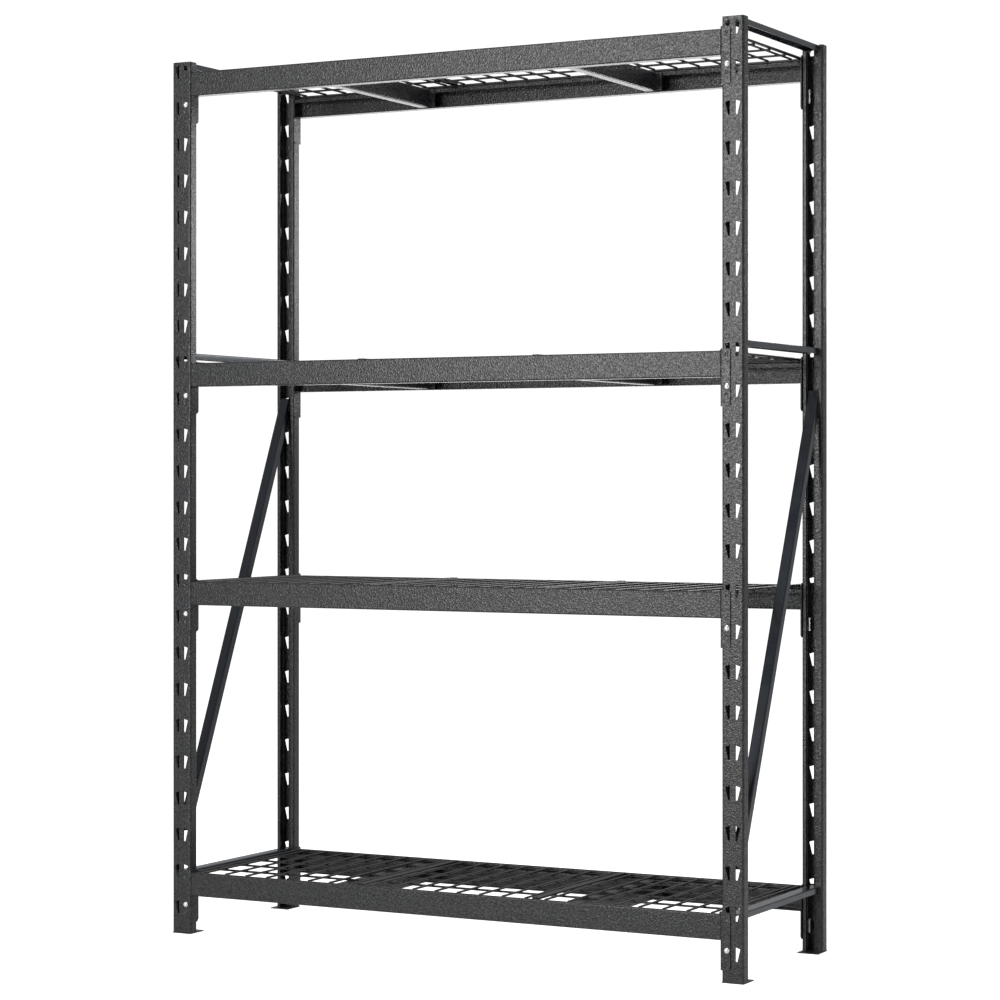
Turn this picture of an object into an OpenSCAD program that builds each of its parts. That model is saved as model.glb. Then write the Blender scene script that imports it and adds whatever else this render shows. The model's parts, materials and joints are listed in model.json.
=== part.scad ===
// Boltless steel shelving: two welded end frames of slotted posts, joined by
// hook-in step beams, with cross ties and lift-out welded wire decks.
// Millimetres. +X to the right, +Y to the rear, +Z up.
// Origin: centre of the footprint, on the floor.

/* [Overall] */
// Width over the posts
unit_w = 1300; // [900:10:2000]
// Depth over the posts
unit_d = 430; // [300:10:700]
// Height from the floor to the top of the posts
unit_h = 1829; // [1820:1:1900]

/* [Posts] */
// Width of a post across its slotted face
post_w = 45; // [42:1:60]
// Depth of a post, from its slotted face to its open side
post_d = 25; // [24:1:40]
// Width of each lip that is turned in at the open side
post_lip = 9; // [6:0.5:9]
// Sheet thickness of a post
post_t = 2; // [1.5:0.1:2.5]
// Thickness of the foot plate under a post
foot_t = 2; // [1.5:0.5:4]
// How deep a foot plate is, from the slotted face inwards
foot_d = 50; // [30:1:80]

/* [Slots] */
// Number of slots in each of a post's two rows
slot_count = 24; // [24:1:24]
// Spacing of the slots up the post
slot_pitch = 76.2; // [74:0.1:76.2]
// Distance from the top of a post down to its first slot
slot_first = 7; // [5:0.5:10]
// Height of a slot at its straight edge
slot_h = 27.5; // [24:0.5:30]
// Distance from a post's centre line to the straight edge of a slot
slot_inset = 6; // [5:0.5:6]
// Width of a slot at its top
slot_top_w = 9.5; // [9:0.25:10]
// Width of a slot at its foot, where a hook sits
slot_foot_w = 3.5; // [3.25:0.25:4]
// How far the sloping top edge of a slot falls towards its outer corner
slot_fall = 3; // [0:0.5:4]

/* [Shelves] */
// Slot that takes the upper hooks of each shelf, counted down from 0 at the top
shelf_slots = [0, 8, 14, 22];
// Name of each shelf, from the top down
shelf_names = ["top", "upper", "lower", "bottom"];

/* [Beams] */
// Height of a beam
beam_h = 50; // [45:1:55]
// Depth of a beam, from its face to the edge of its ledge
beam_d = 24; // [22:0.5:24]
// Sheet thickness of a beam
beam_t = 1.8; // [1.5:0.1:2]
// Depth of the narrow top of a beam, outside the ledge
beam_top_d = 8; // [6:0.5:9]
// How far the ledge lies below the top of a beam
ledge_drop = 8; // [4:0.5:9]
// Height of the lip that is turned down from the ledge
ledge_lip = 9; // [6:0.5:12]

/* [Brackets] */
// Height of a bracket
bracket_h = 110; // [104:1:112]
// Width of the leg that lies on the face of a post
bracket_face = 18.5; // [17:0.5:20]
// How far back the leg beside the post reaches from the face of the post
bracket_side = 27; // [25:1:30]
// Plate thickness of a bracket
bracket_t = 2.5; // [2:0.25:3]
// How far a bracket stands above its beam
bracket_rise = 4; // [2:1:5]
// How far the seat of the upper hook lies below the top of a bracket
hook_drop = 16; // [15:1:18]

/* [Lock pins] */
// Diameter of a lock pin's head
pin_head = 11; // [9:0.5:12]
// Diameter of a lock pin's shank
pin_shank = 5; // [4:0.25:5]
// Distance from the top of a slot down to the lock pin's centre
pin_drop = 7.3; // [7:0.1:8]
// How far a lock pin can be drawn out before its tail meets the post
pin_travel = 11; // [6:0.5:12]

/* [Cross ties] */
// Distance of each cross tie from the middle of the shelf
tie_x = 270; // [220:5:360]
// Width of a cross tie
tie_w = 20; // [16:1:30]
// Sheet thickness of a cross tie
tie_t = 1.5; // [1.2:0.1:2]

/* [Decks] */
// Depth of a deck panel
deck_d = 400; // [400:1:400]
// Gap between neighbouring deck panels
deck_gap = 2; // [1:0.5:4]
// Number of wires across a deck panel, from side to side
deck_cross_wires = 6; // [4:1:8]
// Number of wires from front to rear inside a deck panel
deck_long_wires = 8; // [5:1:10]
// Spacing of the wires from front to rear
deck_long_pitch = 50.8; // [30:0.1:50.8]
// Diameter of a deck wire
wire_d = 4.5; // [3:0.25:4.5]
// Diameter of the rod along each side of a deck panel
rod_d = 6; // [4:0.25:6]

/* [End frames] */
// Width of a side rail, which fits between the lips of its posts
rail_w = 27; // [19:0.5:27]
// Height of a side rail
rail_h = 12.5; // [10:0.5:14]
// Height of the top face of the middle side rail above the floor
rail_mid = 1218.5; // [1212:0.5:1220]
// Height of the top face of the bottom side rail above the floor
rail_low = 132.5; // [128:0.5:150]
// Width of a diagonal brace
brace_w = 22; // [16:0.5:22]
// Thickness of a diagonal brace, in the plane of the end frame
brace_t = 18; // [12:0.5:18]
// Height of a diagonal brace's foot above the floor
brace_low = 216; // [216:1:260]
// Height of a diagonal brace's head above the floor
brace_high = 1133; // [1080:1:1133]

/* [Hidden] */
// Facets in each bend of the folded sheet, and around the wires
bend_steps = 4;
wire_sides = 8;
round_fn = 48;
// Inside bend radii of thick and thin sheet
bend_r = 2;
fine_bend_r = 1.2;
rail_t = 1.5;
// Room for a solid to be cut cleanly past its face
over = 1;

// Seat of the upper hook of each shelf, and the levels that follow from it
seats = [for (k = shelf_slots) unit_h - slot_first - k * slot_pitch - slot_h];
beam_tops = [for (z = seats) z + hook_drop - bracket_rise];

// Bracket and hooks, in a post's own frame: x towards the beam
hook_play = 0.5;
hook_t = 2.5;
hook_x = slot_inset + hook_play;
hook_h = 8.5;
hook_tongue = 8;
hook_clear = 0.4;
mark_d = 8.5;
mark_depth = 1;
mark_r = (pow(mark_d / 2, 2) + pow(mark_depth, 2)) / (2 * mark_depth);
face_chamfer = 3;
side_chamfer = 5;
beam_end = post_w / 2 + bracket_t;
beam_len = unit_w - post_w - 2 * beam_end;

// Lock pin: its place across the slot, and its height above the upper hook seat
pin_offset = 5.5;
pin_play = 0.6;
pin_x = slot_inset + pin_offset;
pin_z = slot_h - slot_pitch - pin_drop;
pin_hole = pin_shank + pin_play;
pin_head_h = 2.5;
tail_w = 4.5;
tail_t = 1.5;
tail_h = 28;
tail_above = 2.5;

// Rails and braces pass between the lips of their posts, against the outer lip
lip_edge = -(post_w / 2 - post_lip);
rail_x = lip_edge + rail_w / 2;
brace_x = lip_edge + brace_w / 2;
rail_inset = 0.5;
rail_tops = [unit_h - rail_inset, rail_mid, rail_low];

// Slope of a brace, from post to post
brace_gap = 1.6;
brace_half = brace_t / 2;
brace_run = unit_d - 2 * (post_t + brace_gap);
brace_rise = brace_high - brace_low;
brace_angle = atan2(brace_run, brace_rise);
brace_inset = brace_half / cos(brace_angle);
brace_slope = brace_rise / (brace_run - 2 * brace_inset);
brace_lean = atan(1 / brace_slope);

// Deck levels above the underside of its beams
ledge_z = beam_h - ledge_drop;
deck_lift = 0.2;
weld_sink = 0.4;
cross_z = ledge_z + deck_lift + wire_d / 2;
long_z = cross_z + wire_d - weld_sink;
rod_z = cross_z + (wire_d + rod_d) / 2 - weld_sink;
panels = 3;
panel_names = ["left", "middle", "right"];
deck_play = 5;
panel_pitch = (beam_len - deck_play) / panels;
panel_w = panel_pitch - deck_gap;

// Cross tie ends
tie_clear = 4;
tie_tab_w = 16;
tie_tab_gap = 1.4;
tie_tab_y = beam_d + tie_tab_gap;

side_names = ["left", "right"];
face_names = ["front", "rear"];
rail_names = ["top", "middle", "bottom"];

// ---- Folded sheet ---------------------------------------------------------

function unit(v) = v / norm(v);
function left_of(v) = [-v[1], v[0]];
function turned(v, a) =
    [v[0] * cos(a) - v[1] * sin(a), v[0] * sin(a) + v[1] * cos(a)];

// Points of one side (+1 left, -1 right) of a strip that follows the path p
function bend_side(p, t, r, side) = [
    for (i = [0:len(p) - 1])
        let (
            last = len(p) - 1,
            din = unit(i == 0 ? p[1] - p[0] : p[i] - p[i - 1]),
            dout = unit(i == last ? p[i] - p[i - 1] : p[i + 1] - p[i]),
            turn = sign(din[0] * dout[1] - din[1] * dout[0]),
            bend = acos(min(1, din * dout)),
            mid_r = r + t / 2,
            centre = p[i] - din * mid_r * tan(bend / 2) + left_of(din) * turn * mid_r
        )
        each turn == 0
            ? [p[i] + left_of(din) * side * t / 2]
            : [for (j = [0:bend_steps])
                centre - turned(left_of(din), turn * bend * j / bend_steps)
                    * turn * (mid_r - side * turn * t / 2)]
];

// Outline of sheet of thickness t folded along the path p, inside radius r
module folded(p, t, r) {
    right = bend_side(p, t, r, -1);
    polygon(concat(
        bend_side(p, t, r, 1),
        [for (i = [len(right) - 1:-1:0]) right[i]]
    ));
}

// ---- Placing --------------------------------------------------------------

// Puts a piece drawn in a post's own frame (x towards the beams, y from the
// slotted face inwards) at a corner: side -1 left, +1 right; face -1 front, +1 rear
module at_corner(side, face) {
    translate([side * (unit_w - post_w) / 2, face * unit_d / 2, 0])
        mirror([side > 0 ? 1 : 0, 0, 0])
            mirror([0, face > 0 ? 1 : 0, 0])
                children();
}

// Puts a piece drawn with y from the front face inwards at the front or rear
module at_face(face) {
    translate([0, face * unit_d / 2, 0])
        mirror([0, face > 0 ? 1 : 0, 0])
            children();
}

// Draws a profile in the y-z plane and runs it along x, centred on x = 0
module along_x(length) {
    translate([-length / 2, 0, 0])
        rotate([90, 0, 90])
            linear_extrude(length) children();
}

// Draws a profile in the x-z plane and runs it along y, from y = 0
module along_y(length) {
    translate([0, length, 0])
        rotate([90, 0, 0])
            linear_extrude(length) children();
}

// ---- End frames -----------------------------------------------------------

// One slot as it looks from the front, its top inner corner at z = 0
module slot_outline() {
    polygon([
        [slot_inset, 0],
        [slot_inset, -slot_h],
        [slot_inset + slot_foot_w, -slot_h],
        [slot_inset + slot_top_w, -slot_fall]
    ]);
}

module post() {
    half = post_w / 2 - post_t / 2;
    back = post_d - post_t / 2;
    lip = post_w / 2 - post_lip;
    color("dimgray") difference() {
        translate([0, 0, foot_t])
            linear_extrude(unit_h - foot_t)
                folded([
                    [-lip, back], [-half, back], [-half, post_t / 2],
                    [half, post_t / 2], [half, back], [lip, back]
                ], post_t, bend_r);
        for (k = [0:slot_count - 1], side = [0, 1])
            translate([0, -over, unit_h - slot_first - k * slot_pitch])
                mirror([side, 0, 0])
                    along_y(post_t + 2 * over) slot_outline();
    }
}

module foot_plates() {
    color("dimgray")
        for (side = [-1, 1], face = [-1, 1])
            at_corner(side, face)
                translate([-post_w / 2, 0, 0])
                    cube([post_w, foot_d, foot_t]);
}

// The two rails at one level: channels open below, from post web to post web
module side_rails(top) {
    half = (rail_w - rail_t) / 2;
    color("slategray")
        for (side = [-1, 1])
            at_corner(side, -1)
                translate([rail_x, post_t, top])
                    along_y(unit_d - 2 * post_t)
                        folded([
                            [-half, -rail_h], [-half, -rail_t / 2],
                            [half, -rail_t / 2], [half, -rail_h]
                        ], rail_t, fine_bend_r);
}

// A diagonal channel, low at the front and cut off level at both ends
module brace(side) {
    half = (brace_w - rail_t) / 2;
    reach = (brace_rise + brace_t) / cos(brace_lean);
    color("slategray")
        at_corner(side, -1)
            intersection() {
                translate([brace_x, post_t + brace_gap + brace_inset, brace_low])
                    rotate([-brace_lean, 0, 0])
                        translate([0, 0, -brace_t])
                            linear_extrude(reach + 2 * brace_t)
                                folded([
                                    [-half, brace_half], [-half, -brace_half + rail_t / 2],
                                    [half, -brace_half + rail_t / 2], [half, brace_half]
                                ], rail_t, fine_bend_r);
                translate([-post_w, 0, brace_low])
                    cube([2 * post_w, unit_d, brace_rise]);
            }
}

// ---- Shelves --------------------------------------------------------------

// A beam with a low ledge inside its top edge for the decks
module beam(shelf, face) {
    half = beam_t / 2;
    color("dimgray")
        translate([0, 0, beam_tops[shelf] - beam_h])
            at_face(face)
                along_x(beam_len)
                    folded([
                        [beam_d, half],
                        [half, half],
                        [half, beam_h - half],
                        [beam_top_d, beam_h - half],
                        [beam_top_d, ledge_z - half],
                        [beam_d - half, ledge_z - half],
                        [beam_d - half, ledge_z - ledge_lip]
                    ], beam_t, fine_bend_r);
}

// A hook that passes through a slot, rests on its foot and hangs behind the web
module hook() {
    back = post_t + hook_clear;
    translate([hook_x, 0, 0])
        rotate([90, 0, 90])
            linear_extrude(hook_t)
                polygon([
                    [-over, hook_h],
                    [back + hook_t, hook_h],
                    [back + hook_t, -hook_tongue],
                    [back, -hook_tongue],
                    [back, 0],
                    [-over, 0]
                ]);
}

// A wedge that cuts a corner off a plate whose corner runs along the y axis
module corner_cut(size, length) {
    rotate([0, 45, 0])
        cube([size * sqrt(2), length, size * sqrt(2)], center = true);
}

// One angle bracket, its upper hook seat at z = 0
module bracket() {
    top = hook_drop;
    free_edge = post_w / 2 - bracket_face;
    mid = bracket_t / 2;
    difference() {
        translate([0, 0, top - bracket_h])
            linear_extrude(bracket_h)
                folded([
                    [free_edge, -mid],
                    [post_w / 2 + mid, -mid],
                    [post_w / 2 + mid, bracket_side]
                ], bracket_t, fine_bend_r);
        for (z = [top, top - bracket_h]) {
            translate([free_edge, -mid, z])
                corner_cut(face_chamfer, 3 * bracket_t);
            translate([post_w / 2 + mid, bracket_side, z])
                rotate([0, 0, 90])
                    corner_cut(side_chamfer, 3 * bracket_t);
        }
        for (z = [0, -slot_pitch])
            translate([pin_x, mark_depth - bracket_t - mark_r, z + hook_h / 2])
                sphere(r = mark_r, $fn = round_fn);
        translate([pin_x, -bracket_t - over, pin_z])
            rotate([-90, 0, 0])
                cylinder(d = pin_hole, h = bracket_t + 2 * over, $fn = round_fn);
    }
    for (z = [0, -slot_pitch])
        translate([0, 0, z]) hook();
}

// The two brackets at the ends of one beam
module brackets(shelf, face) {
    color("dimgray")
        for (side = [-1, 1])
            at_corner(side, face)
                translate([0, 0, seats[shelf]]) bracket();
}

// A headed pin through bracket and slot; its tail hangs down inside the post
module lock_pin(shelf, face, side) {
    tail_y = post_t + pin_travel;
    dome_r = (pow(pin_head / 2, 2) + pow(pin_head_h, 2)) / (2 * pin_head_h);
    color("silver")
        at_corner(side, face)
            translate([pin_x, 0, seats[shelf] + pin_z]) {
                translate([0, -bracket_t, 0])
                    rotate([90, 0, 0])
                        intersection() {
                            translate([0, 0, pin_head_h - dome_r])
                                sphere(r = dome_r, $fn = round_fn);
                            cylinder(d = pin_head, h = pin_head_h + over, $fn = round_fn);
                        }
                translate([0, -bracket_t - pin_head_h / 2, 0])
                    rotate([-90, 0, 0])
                        cylinder(d = pin_shank, h = tail_y + bracket_t + pin_head_h / 2
                            + tail_t / 2, $fn = round_fn);
                translate([-tail_w / 2, tail_y, tail_above - tail_h])
                    cube([tail_w, tail_t, tail_h]);
            }
}

// The two ties under one shelf: channels that stand on the beams' lower flanges
module cross_ties(shelf) {
    half = tie_t / 2;
    edge = tie_w / 2;
    low = beam_t;
    span = unit_d - 2 * tie_clear;
    color("dimgray")
        for (x = [-tie_x, tie_x])
            translate([x, 0, beam_tops[shelf] - beam_h]) {
                difference() {
                    translate([0, -span / 2, 0])
                        along_y(span)
                            folded([
                                [-edge, ledge_z - half], [edge - half, ledge_z - half],
                                [edge - half, low + half], [-edge, low + half]
                            ], tie_t, fine_bend_r);
                    for (face = [-1, 1])
                        at_face(face)
                            translate([-tie_w, 0, ledge_z - ledge_lip - over])
                                cube([2 * tie_w, tie_tab_y, ledge_lip + 2 * over]);
                }
                for (face = [-1, 1])
                    at_face(face)
                        translate([edge - half, tie_tab_y, low + over])
                            cube([tie_tab_w, tie_t, ledge_z - low - 2 * over]);
            }
}

// A straight deck wire along y, its lower side flat
module wire(d, length) {
    rotate([90, 0, 0])
        rotate(180 / wire_sides)
            cylinder(d = d, h = length, center = true, $fn = wire_sides);
}

// One deck panel: wires from side to side below, wires and side rods above
module deck(shelf, panel) {
    cross_pitch = (deck_d - wire_d) / (deck_cross_wires - 1);
    rod_x = (panel_w - rod_d) / 2;
    color("black")
        translate([(panel - 1) * panel_pitch, 0, beam_tops[shelf] - beam_h]) {
            for (i = [0:deck_cross_wires - 1])
                translate([0, (wire_d - deck_d) / 2 + i * cross_pitch, cross_z])
                    rotate(90) wire(wire_d, panel_w);
            for (i = [0:deck_long_wires - 1])
                translate([(i - (deck_long_wires - 1) / 2) * deck_long_pitch, 0, long_z])
                    wire(wire_d, deck_d);
            for (side = [-1, 1])
                translate([side * rod_x, 0, rod_z]) wire(rod_d, deck_d);
        }
}

// ---- Nodes ----------------------------------------------------------------

for (f = [0, 1], s = [0, 1])
    at_corner(2 * s - 1, 2 * f - 1) post();

foot_plates();

for (r = [0:2])
    side_rails(rail_tops[r]);

for (s = [0, 1])
    brace(2 * s - 1);

for (n = [0:3], f = [0, 1])
    beam(n, 2 * f - 1);

for (n = [0:3], f = [0, 1])
    brackets(n, 2 * f - 1);

for (n = [0:3])
    cross_ties(n);

for (n = [0:3], p = [0:2])
    deck(n, p);

for (n = [0:3], f = [0, 1], s = [0, 1])
    lock_pin(n, 2 * f - 1, 2 * s - 1);
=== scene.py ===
import json
import math
import random

import bmesh
import bpy
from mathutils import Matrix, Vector


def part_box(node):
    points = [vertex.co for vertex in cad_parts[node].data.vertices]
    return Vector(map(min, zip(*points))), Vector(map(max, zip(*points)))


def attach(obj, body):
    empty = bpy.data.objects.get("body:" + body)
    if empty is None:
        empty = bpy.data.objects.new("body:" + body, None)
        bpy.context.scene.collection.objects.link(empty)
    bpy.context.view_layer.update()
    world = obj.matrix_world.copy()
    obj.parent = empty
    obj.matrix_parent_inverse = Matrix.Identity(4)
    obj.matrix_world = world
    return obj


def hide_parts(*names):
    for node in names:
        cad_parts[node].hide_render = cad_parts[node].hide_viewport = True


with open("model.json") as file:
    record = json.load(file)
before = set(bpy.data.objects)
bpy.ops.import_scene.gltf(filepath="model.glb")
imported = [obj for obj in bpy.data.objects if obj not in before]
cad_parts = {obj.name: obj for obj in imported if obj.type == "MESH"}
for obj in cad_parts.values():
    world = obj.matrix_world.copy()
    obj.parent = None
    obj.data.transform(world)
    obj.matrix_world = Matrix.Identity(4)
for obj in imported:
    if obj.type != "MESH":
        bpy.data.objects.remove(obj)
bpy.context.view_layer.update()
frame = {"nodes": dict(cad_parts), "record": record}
nodes = frame["nodes"]
MM = 0.001

SHELVES = ("top", "upper", "lower", "bottom")
FACES = ("front", "rear")
SIDES = ("left", "right")
PANELS = ("left", "middle", "right")


# ---- Materials ------------------------------------------------------------

class Nodes:
    """A new material with short calls for its nodes and links."""

    def __init__(self, name):
        self.material = bpy.data.materials.new(name)
        self.material.use_nodes = True
        self.tree = self.material.node_tree
        self.shader = self.tree.nodes["Principled BSDF"]
        self.place = self.add("ShaderNodeTexCoord").outputs["Object"]

    def add(self, kind, **settings):
        node = self.tree.nodes.new(kind)
        for key, value in settings.items():
            setattr(node, key, value)
        return node

    def link(self, out, into):
        self.tree.links.new(out, into)

    def noise(self, scale, detail=2.0, roughness=0.5):
        node = self.add("ShaderNodeTexNoise")
        node.inputs["Scale"].default_value = scale
        node.inputs["Detail"].default_value = detail
        node.inputs["Roughness"].default_value = roughness
        self.link(self.place, node.inputs["Vector"])
        return node.outputs["Fac"]

    def cells(self, scale):
        node = self.add("ShaderNodeTexVoronoi", feature="F1")
        node.inputs["Scale"].default_value = scale
        self.link(self.place, node.inputs["Vector"])
        return node.outputs["Distance"]

    def remap(self, value, low, high, to_low=0.0, to_high=1.0):
        node = self.add("ShaderNodeMapRange", clamp=True)
        for key, number in (("From Min", low), ("From Max", high),
                            ("To Min", to_low), ("To Max", to_high)):
            node.inputs[key].default_value = number
        self.link(value, node.inputs["Value"])
        return node.outputs["Result"]

    def math(self, operation, a, b):
        node = self.add("ShaderNodeMath", operation=operation)
        for socket, value in zip(node.inputs, (a, b)):
            if isinstance(value, float):
                socket.default_value = value
            else:
                self.link(value, socket)
        return node.outputs["Value"]

    def mix(self, factor, a, b):
        node = self.add("ShaderNodeMix", data_type="RGBA")
        self.link(factor, node.inputs["Factor"])
        for socket, value in ((node.inputs[6], a), (node.inputs[7], b)):
            if isinstance(value, tuple):
                socket.default_value = value + (1.0,)
            else:
                self.link(value, socket)
        return node.outputs[2]

    def bump(self, height, strength, distance):
        node = self.add("ShaderNodeBump")
        node.inputs["Strength"].default_value = strength
        node.inputs["Distance"].default_value = distance
        self.link(height, node.inputs["Height"])
        self.link(node.outputs["Normal"], self.shader.inputs["Normal"])

    def constant(self, **values):
        for key, value in values.items():
            self.shader.inputs[key.replace("_", " ")].default_value = value


def hammertone():
    """Charcoal paint that dried into fine light grains, with dull hollows between them."""
    m = Nodes("hammertone_paint")
    grain = m.noise(210.0, 3.0, 0.6)
    fine = m.noise(520.0, 2.0, 0.5)
    drift = m.noise(5.0, 2.0, 0.5)
    flake = m.cells(330.0)
    pits = m.cells(300.0)
    tone = m.math("ADD", m.math("MULTIPLY", grain, 0.7), m.math("MULTIPLY", fine, 0.3))
    base = m.mix(m.remap(tone, 0.40, 0.60),
                 (0.0016, 0.0018, 0.0023), (0.020, 0.0208, 0.0233))
    flaked = m.mix(m.remap(flake, 0.10, 0.27, 0.8, 0.0), base, (0.110, 0.112, 0.118))
    shaded = m.mix(m.remap(drift, 0.3, 0.7, 0.0, 0.25), flaked, (0.005, 0.0054, 0.0066))
    m.link(shaded, m.shader.inputs["Base Color"])
    m.link(m.remap(tone, 0.40, 0.60, 0.36, 0.26), m.shader.inputs["Roughness"])
    m.link(m.remap(tone, 0.42, 0.58, 0.40, 0.60), m.shader.inputs["Specular IOR Level"])
    height = m.math("ADD", m.math("MULTIPLY", grain, 0.6), m.math("MULTIPLY", pits, 0.8))
    m.bump(height, 0.6, 0.0009)
    m.constant(Metallic=0.0)
    return m.material


def smooth_paint():
    """Blue-black gloss on the rails and braces."""
    m = Nodes("smooth_paint")
    peel = m.noise(620.0, 2.0, 0.5)
    drift = m.noise(14.0, 3.0, 0.6)
    speck = m.cells(380.0)
    base = m.mix(m.remap(drift, 0.3, 0.7),
                 (0.0024, 0.0034, 0.0060), (0.0050, 0.0070, 0.0120))
    specked = m.mix(m.remap(speck, 0.08, 0.2, 0.35, 0.0), base, (0.03, 0.036, 0.048))
    m.link(specked, m.shader.inputs["Base Color"])
    m.link(m.remap(drift, 0.3, 0.7, 0.30, 0.40), m.shader.inputs["Roughness"])
    m.bump(peel, 0.12, 0.0004)
    m.constant(Metallic=0.0, Specular_IOR_Level=0.3, Coat_Weight=0.6, Coat_Roughness=0.12,
               Coat_IOR=1.45, Coat_Tint=(0.80, 0.90, 1.0, 1.0))
    return m.material


def wire_paint():
    """Thin black coat on the deck wires."""
    m = Nodes("wire_paint")
    peel = m.noise(900.0, 2.0, 0.5)
    drift = m.noise(30.0, 3.0, 0.6)
    base = m.mix(m.remap(drift, 0.3, 0.7),
                 (0.0030, 0.0034, 0.0042), (0.0075, 0.0083, 0.0100))
    m.link(base, m.shader.inputs["Base Color"])
    m.link(m.remap(peel, 0.3, 0.7, 0.30, 0.42), m.shader.inputs["Roughness"])
    m.bump(peel, 0.12, 0.0003)
    m.constant(Metallic=0.0, Specular_IOR_Level=0.4)
    return m.material


def zinc_plate():
    """Bright plating on the lock pins."""
    m = Nodes("zinc_plate")
    spangle = m.cells(900.0)
    brush = m.noise(1500.0, 2.0, 0.6)
    base = m.mix(m.remap(spangle, 0.1, 0.7), (0.90, 0.90, 0.90), (0.78, 0.79, 0.80))
    m.link(base, m.shader.inputs["Base Color"])
    m.link(m.remap(brush, 0.3, 0.7, 0.28, 0.36), m.shader.inputs["Roughness"])
    m.bump(brush, 0.05, 0.0001)
    m.constant(Metallic=1.0)
    return m.material


PAINTS = {
    "hammertone_steel": hammertone(),
    "smooth_steel": smooth_paint(),
    "deck_wire": wire_paint(),
    "zinc": zinc_plate(),
}
SLOT_OF = {s["node"]: s["material_slot"] for s in frame["record"]["subparts"]}
BODY_OF = {n: body for body, members in frame["record"]["behaviour"]["bodies"].items()
           for n in members}


# ---- Mesh helpers ---------------------------------------------------------

def piece(name, bm, slot, body, smooth_below=None):
    """Turns a bmesh in frame coordinates into a painted piece that rides on a body."""
    bmesh.ops.recalc_face_normals(bm, faces=bm.faces)
    mesh = bpy.data.meshes.new(name)
    for face in bm.faces:
        face.smooth = True
    if smooth_below:
        for edge in bm.edges:
            if len(edge.link_faces) == 2:
                edge.smooth = edge.calc_face_angle() < math.radians(smooth_below)
    bm.to_mesh(mesh)
    bm.free()
    obj = bpy.data.objects.new(name, mesh)
    bpy.context.scene.collection.objects.link(obj)
    mesh.materials.append(PAINTS[slot])
    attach(obj, body)
    return obj


def ring(bm, centre, across, up, radius, sides):
    """A ring of vertices in the plane of across and up."""
    step = 2 * math.pi / sides
    return [bm.verts.new(centre + across * (radius * math.cos(i * step))
                         + up * (radius * math.sin(i * step))) for i in range(sides)]


def bridge(bm, a, b):
    """A band of faces between two rings."""
    for i in range(len(a)):
        j = (i + 1) % len(a)
        bm.faces.new((a[i], a[j], b[j], b[i]))


WIRE_SIDES = 14
END_CHAMFER = 0.4 * MM


def rod(bm, start, end, radius, sides=WIRE_SIDES, chamfer=END_CHAMFER):
    """A closed round wire along x or y from start to end, its cut ends broken."""
    along = (end - start).normalized()
    up = Vector((0, 0, 1))
    across = along.cross(up).normalized()
    rings = [
        ring(bm, start, across, up, radius - chamfer, sides),
        ring(bm, start + along * chamfer, across, up, radius, sides),
        ring(bm, end - along * chamfer, across, up, radius, sides),
        ring(bm, end, across, up, radius - chamfer, sides),
    ]
    for a, b in zip(rings, rings[1:]):
        bridge(bm, a, b)
    bm.faces.new(list(reversed(rings[0])))
    bm.faces.new(rings[-1])


RIPPLE_PITCH = 2.8 * MM
BEAD_SIDES = 8


def bead(bm, start, end, radius, normal, seed):
    """A weld bead from start to end: a row of overlapping ripples round the line between."""
    rng = random.Random(seed)
    length = (end - start).length
    along = (end - start) / length
    across = along.cross(normal).normalized()
    count = max(4, int(length / RIPPLE_PITCH) * 2)
    previous = None
    for i in range(count + 1):
        t = i / count
        taper = min(1.0, 5 * t + 0.35, 5 * (1 - t) + 0.35)
        swell = (1.0 if i % 2 else 0.86) * taper * rng.uniform(0.94, 1.06)
        centre = start + along * (length * t)
        loop = ring(bm, centre, across, normal, radius * swell, BEAD_SIDES)
        if previous:
            bridge(bm, previous, loop)
        else:
            bm.faces.new(list(reversed(loop)))
        previous = loop
    bm.faces.new(previous)


def dome(bm, centre, size, around=10, layers=6):
    """A small closed ellipsoid for a resistance weld."""
    rings = []
    for k in range(1, layers):
        a = math.pi * k / layers
        rings.append(ring(bm, centre + Vector((0, 0, size.z * math.cos(a))),
                          Vector((size.x, 0, 0)), Vector((0, size.y, 0)), math.sin(a), around))
    for a, b in zip(rings, rings[1:]):
        bridge(bm, a, b)
    top = bm.verts.new(centre + Vector((0, 0, size.z)))
    low = bm.verts.new(centre - Vector((0, 0, size.z)))
    for i in range(around):
        j = (i + 1) % around
        bm.faces.new((top, rings[0][i], rings[0][j]))
        bm.faces.new((low, rings[-1][j], rings[-1][i]))


MERGE_DIST = 1e-5
FLAT_ANGLE = math.radians(0.6)
SHARP_ANGLE = math.radians(38.0)
SHEET_EDGE = 0.35 * MM
PIN_EDGE = 0.3 * MM
NORMAL_WEIGHT = 80


def skin(node, edge):
    """The CAD node's own shape with its cut edges rounded, as painted sheet has them."""
    bm = bmesh.new()
    bm.from_mesh(nodes[node].data)
    bmesh.ops.remove_doubles(bm, verts=bm.verts, dist=MERGE_DIST)
    bmesh.ops.dissolve_limit(bm, angle_limit=FLAT_ANGLE, use_dissolve_boundaries=False,
                             verts=bm.verts, edges=bm.edges)
    edges = [e for e in bm.edges
             if len(e.link_faces) == 2 and e.calc_face_angle() > SHARP_ANGLE]
    bmesh.ops.bevel(bm, geom=edges, offset=edge, segments=2, profile=0.5,
                    affect="EDGES", clamp_overlap=True)
    obj = piece(node + "_sheet", bm, SLOT_OF[node], BODY_OF[node])
    weighted = obj.modifiers.new("weighted", "WEIGHTED_NORMAL")
    weighted.mode = "FACE_AREA"
    weighted.weight = NORMAL_WEIGHT
    weighted.keep_sharp = True
    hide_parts(node)


# ---- Sheet metal ----------------------------------------------------------

for node, slot in SLOT_OF.items():
    if slot in ("hammertone_steel", "smooth_steel"):
        skin(node, SHEET_EDGE)
    elif slot == "zinc":
        skin(node, PIN_EDGE)


# ---- Welded wire decks ----------------------------------------------------

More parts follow.
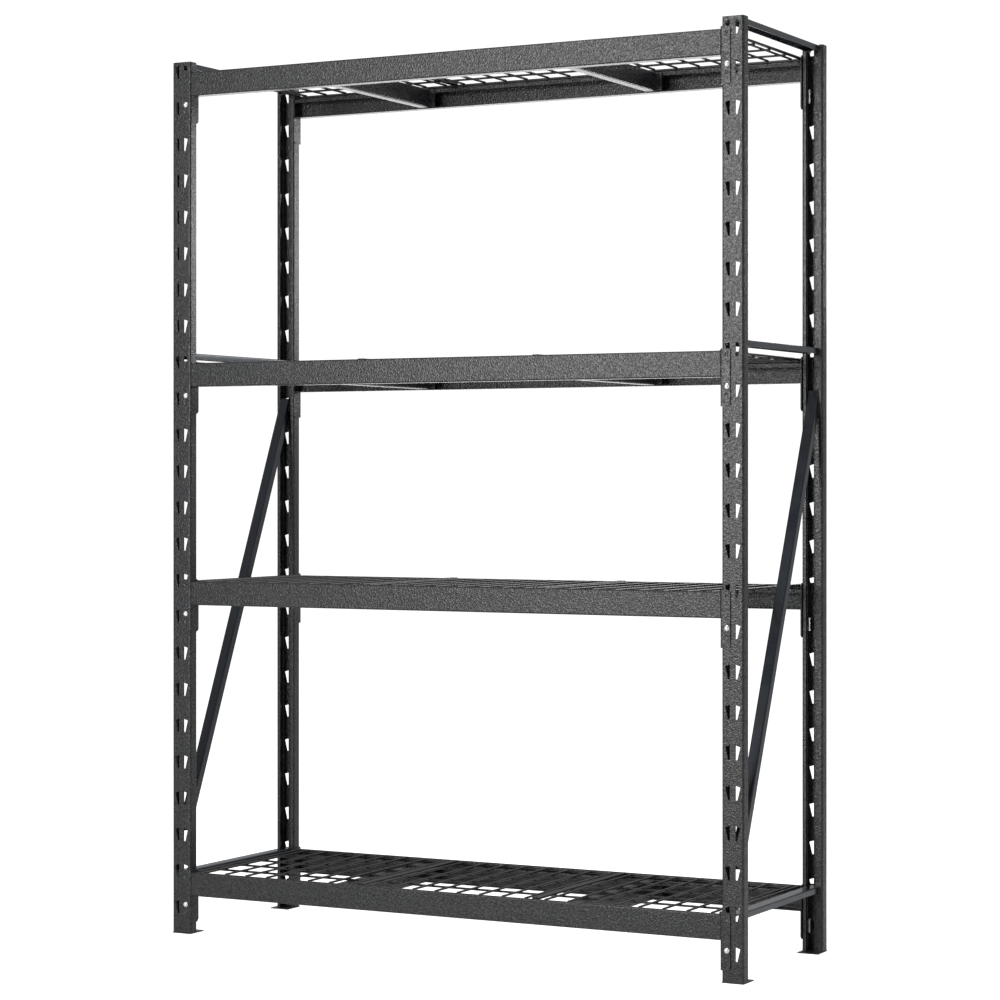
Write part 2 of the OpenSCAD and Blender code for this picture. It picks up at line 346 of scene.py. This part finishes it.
WIRE_R = 2.25 * MM
ROD_R = 3 * MM
CROSS_WIRES = 6
LONG_WIRES = 8
LONG_PITCH = 50.8 * MM
WELD_SINK = 0.4 * MM
NUGGET = Vector((2.7 * MM, 2.7 * MM, 1.1 * MM))
CREASE = 40
CAD_SIDES = 8
ROD_SIDES = 16


def deck(shelf, panel):
    """One panel: wires from side to side below, wires and side rods above, a weld at each."""
    node = f"deck_{shelf}_{panel}"
    low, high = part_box(node)
    cross_z = low.z + WIRE_R * math.cos(math.pi / CAD_SIDES)
    long_z = cross_z + 2 * WIRE_R - WELD_SINK
    rod_z = cross_z + WIRE_R + ROD_R - WELD_SINK
    middle = (low.x + high.x) / 2
    pitch = (high.y - low.y - 2 * WIRE_R) / (CROSS_WIRES - 1)
    cross_y = [low.y + WIRE_R + i * pitch for i in range(CROSS_WIRES)]
    long_x = [middle + (i - (LONG_WIRES - 1) / 2) * LONG_PITCH for i in range(LONG_WIRES)]
    rod_x = [low.x + ROD_R, high.x - ROD_R]
    bm = bmesh.new()
    for y in cross_y:
        rod(bm, Vector((low.x, y, cross_z)), Vector((high.x, y, cross_z)), WIRE_R)
    for x in long_x:
        rod(bm, Vector((x, low.y, long_z)), Vector((x, high.y, long_z)), WIRE_R)
    for x in rod_x:
        rod(bm, Vector((x, low.y, rod_z)), Vector((x, high.y, rod_z)), ROD_R, ROD_SIDES)
    for y in cross_y:
        for x in long_x + rod_x:
            dome(bm, Vector((x, y, cross_z + WIRE_R - WELD_SINK / 2)), NUGGET)
    obj = piece(node + "_wires", bm, "deck_wire", node, smooth_below=CREASE)
    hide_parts(node)


for shelf in SHELVES:
    for panel in PANELS:
        deck(shelf, panel)


# ---- Welds ----------------------------------------------------------------

BEAD = 1.2 * MM
BEAM_BEAD = 0.9 * MM
BEAD_GAP = 2.0 * MM
LIP = 9 * MM
LIP_START = 1.5 * MM
LIP_END = 0.5 * MM
FOOT_GAP = 4 * MM
BRACE_WELD = (8 * MM, 46 * MM)
UP = Vector((0, 0, 1))
REARWARD = Vector((0, 1, 0))


def foot_welds(bm, low, high, inner, seed):
    """Beads round a post where it stands on its foot plate."""
    for x in (low.x + BEAD, high.x - BEAD):
        bead(bm, Vector((x, low.y + FOOT_GAP, low.z)), Vector((x, high.y - FOOT_GAP, low.z)),
             BEAD, UP, seed)
        seed += 1
    for x in (low.x + LIP_START, high.x - LIP + LIP_END):
        end = x + LIP - LIP_START - LIP_END
        bead(bm, Vector((x, inner, low.z)), Vector((end, inner, low.z)), BEAD, UP, seed)
        seed += 1


def upright_weld(bm, x, y, z_low, z_high, radius, seed):
    """A bead that runs up a corner between two pieces."""
    bead(bm, Vector((x, y, z_low)), Vector((x, y, z_high)), radius, REARWARD, seed)


def end_frame_welds(side):
    """All the beads of one end frame: its posts on their feet, and its rails and brace."""
    bm = bmesh.new()
    seed = 100 * (SIDES.index(side) + 1)
    near, far = BRACE_WELD
    brace_low, brace_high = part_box(f"brace_{side}")
    for face in FACES:
        low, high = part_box(f"post_{face}_{side}")
        inner = high.y if face == "front" else low.y
        foot_welds(bm, low, high, inner, seed)
        seed += 10
        for level in ("top", "middle", "bottom"):
            rail_low, rail_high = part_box(f"side_rails_{level}")
            for x in (low.x + LIP, high.x - LIP):
                upright_weld(bm, x, inner, rail_low.z + BEAD_GAP, rail_high.z - BEAD_GAP,
                             BEAD, seed)
                seed += 1
        if face == "front":
            weld_low, weld_high = brace_low.z + near, brace_low.z + far
        else:
            weld_low, weld_high = brace_high.z - far, brace_high.z - near
        outer_lip = low.x + LIP if side == "left" else high.x - LIP
        upright_weld(bm, outer_lip, inner, weld_low, weld_high, BEAD, seed)
        seed += 1
    piece(f"end_frame_welds_{side}", bm, "hammertone_steel", "frame")


def beam_welds(shelf, face):
    """Beads where a beam meets the brackets at its ends."""
    low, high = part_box(f"beam_{shelf}_{face}")
    outer = low.y if face == "front" else high.y
    bm = bmesh.new()
    seed = 500 + 10 * SHELVES.index(shelf) + FACES.index(face)
    for x in (low.x, high.x):
        upright_weld(bm, x, outer, low.z + BEAD_GAP, high.z - BEAD_GAP, BEAM_BEAD, seed)
        seed += 1
    piece(f"beam_welds_{shelf}_{face}", bm, "hammertone_steel", "frame")


for side in SIDES:
    end_frame_welds(side)
for shelf in SHELVES:
    for face in FACES:
        beam_welds(shelf, face)


# ---- Stage, light and camera ----------------------------------------------

FLOOR_REACH = 40.0
FLOOR_TONE = (0.9, 0.9, 0.9, 1)
FLOOR_GLOW = 0.75
WHITE = (1, 1, 1, 1)
SURROUND = 0.42
BACKDROP = 1.1

# Name, position, target, size and power of each light
LIGHTS = (
    ("key", (-1.3, -4.6, 1.85), (0.3, 0, 1.0), (1.6, 2.9), 125),
    ("rear_right", (0.45, 1.5, 1.66), (-0.6, 0, 1.4), (0.7, 0.62), 9),
    ("overhead", (0.4, -0.6, 4.4), (0, 0, 0.8), (3.0, 2.0), 70),
    ("edge_strip", (4.5, -3.0, 1.3), (-0.6, -0.2, 1.0), (0.25, 2.6), 12),
    ("far_floor", (-7.5, 14.0, 0.05), (-7.5, 14.0, 1.0), (16.0, 22.0), 2400),
)


def stage_floor():
    """A pale matt floor that looks white to the camera."""
    mesh = bpy.data.meshes.new("floor")
    corners = ((-1, -1), (1, -1), (1, 1), (-1, 1))
    mesh.from_pydata([(x * FLOOR_REACH, y * FLOOR_REACH, 0) for x, y in corners],
                     [], [(0, 1, 2, 3)])
    floor = bpy.data.objects.new("floor", mesh)
    bpy.context.scene.collection.objects.link(floor)
    paint = bpy.data.materials.new("floor_paint")
    paint.use_nodes = True
    tree = paint.node_tree
    shader = tree.nodes["Principled BSDF"]
    shader.inputs["Base Color"].default_value = FLOOR_TONE
    shader.inputs["Roughness"].default_value = 0.8
    shader.inputs["Specular IOR Level"].default_value = 0.0
    shader.inputs["Emission Color"].default_value = WHITE
    glow = tree.nodes.new("ShaderNodeMath")
    glow.operation = "MULTIPLY"
    glow.inputs[1].default_value = FLOOR_GLOW
    path = tree.nodes.new("ShaderNodeLightPath")
    tree.links.new(path.outputs["Is Camera Ray"], glow.inputs[0])
    tree.links.new(glow.outputs["Value"], shader.inputs["Emission Strength"])
    mesh.materials.append(paint)


def studio_world():
    """An even grey surround that lights the shelving, behind a white backdrop."""
    world = bpy.data.worlds.new("studio")
    world.use_nodes = True
    tree = world.node_tree
    surround = tree.nodes["Background"]
    surround.inputs["Strength"].default_value = SURROUND
    backdrop = tree.nodes.new("ShaderNodeBackground")
    for node in (surround, backdrop):
        node.inputs["Color"].default_value = WHITE
    backdrop.inputs["Strength"].default_value = BACKDROP
    seen = tree.nodes.new("ShaderNodeMixShader")
    path = tree.nodes.new("ShaderNodeLightPath")
    tree.links.new(path.outputs["Is Camera Ray"], seen.inputs[0])
    tree.links.new(surround.outputs[0], seen.inputs[1])
    tree.links.new(backdrop.outputs[0], seen.inputs[2])
    tree.links.new(seen.outputs[0], tree.nodes["World Output"].inputs["Surface"])
    bpy.context.scene.world = world


def area_light(name, position, target, size, power):
    """A soft light that the camera doesn't see."""
    data = bpy.data.lights.new(name, "AREA")
    data.shape = "RECTANGLE"
    data.size, data.size_y = size
    data.energy = power
    light = bpy.data.objects.new(name, data)
    bpy.context.scene.collection.objects.link(light)
    light.location = position
    aim = Vector(target) - Vector(position)
    light.rotation_euler = aim.to_track_quat("-Z", "Y").to_euler()
    light.visible_camera = False


stage_floor()
studio_world()
for light in LIGHTS:
    area_light(*light)

camera_data = bpy.data.cameras.new("camera")
camera_data.sensor_width = 36.0
camera_data.lens = 100.73
camera_data.shift_y = -0.0191
camera_data.clip_end = 200
camera = bpy.data.objects.new("camera", camera_data)
bpy.context.scene.collection.objects.link(camera)
camera.location = (2.722, -5.086, 0.950)
camera.rotation_euler = (math.radians(90), 0, math.radians(28.02))
bpy.context.scene.camera = camera
bpy.context.scene.view_settings.view_transform = "Standard"
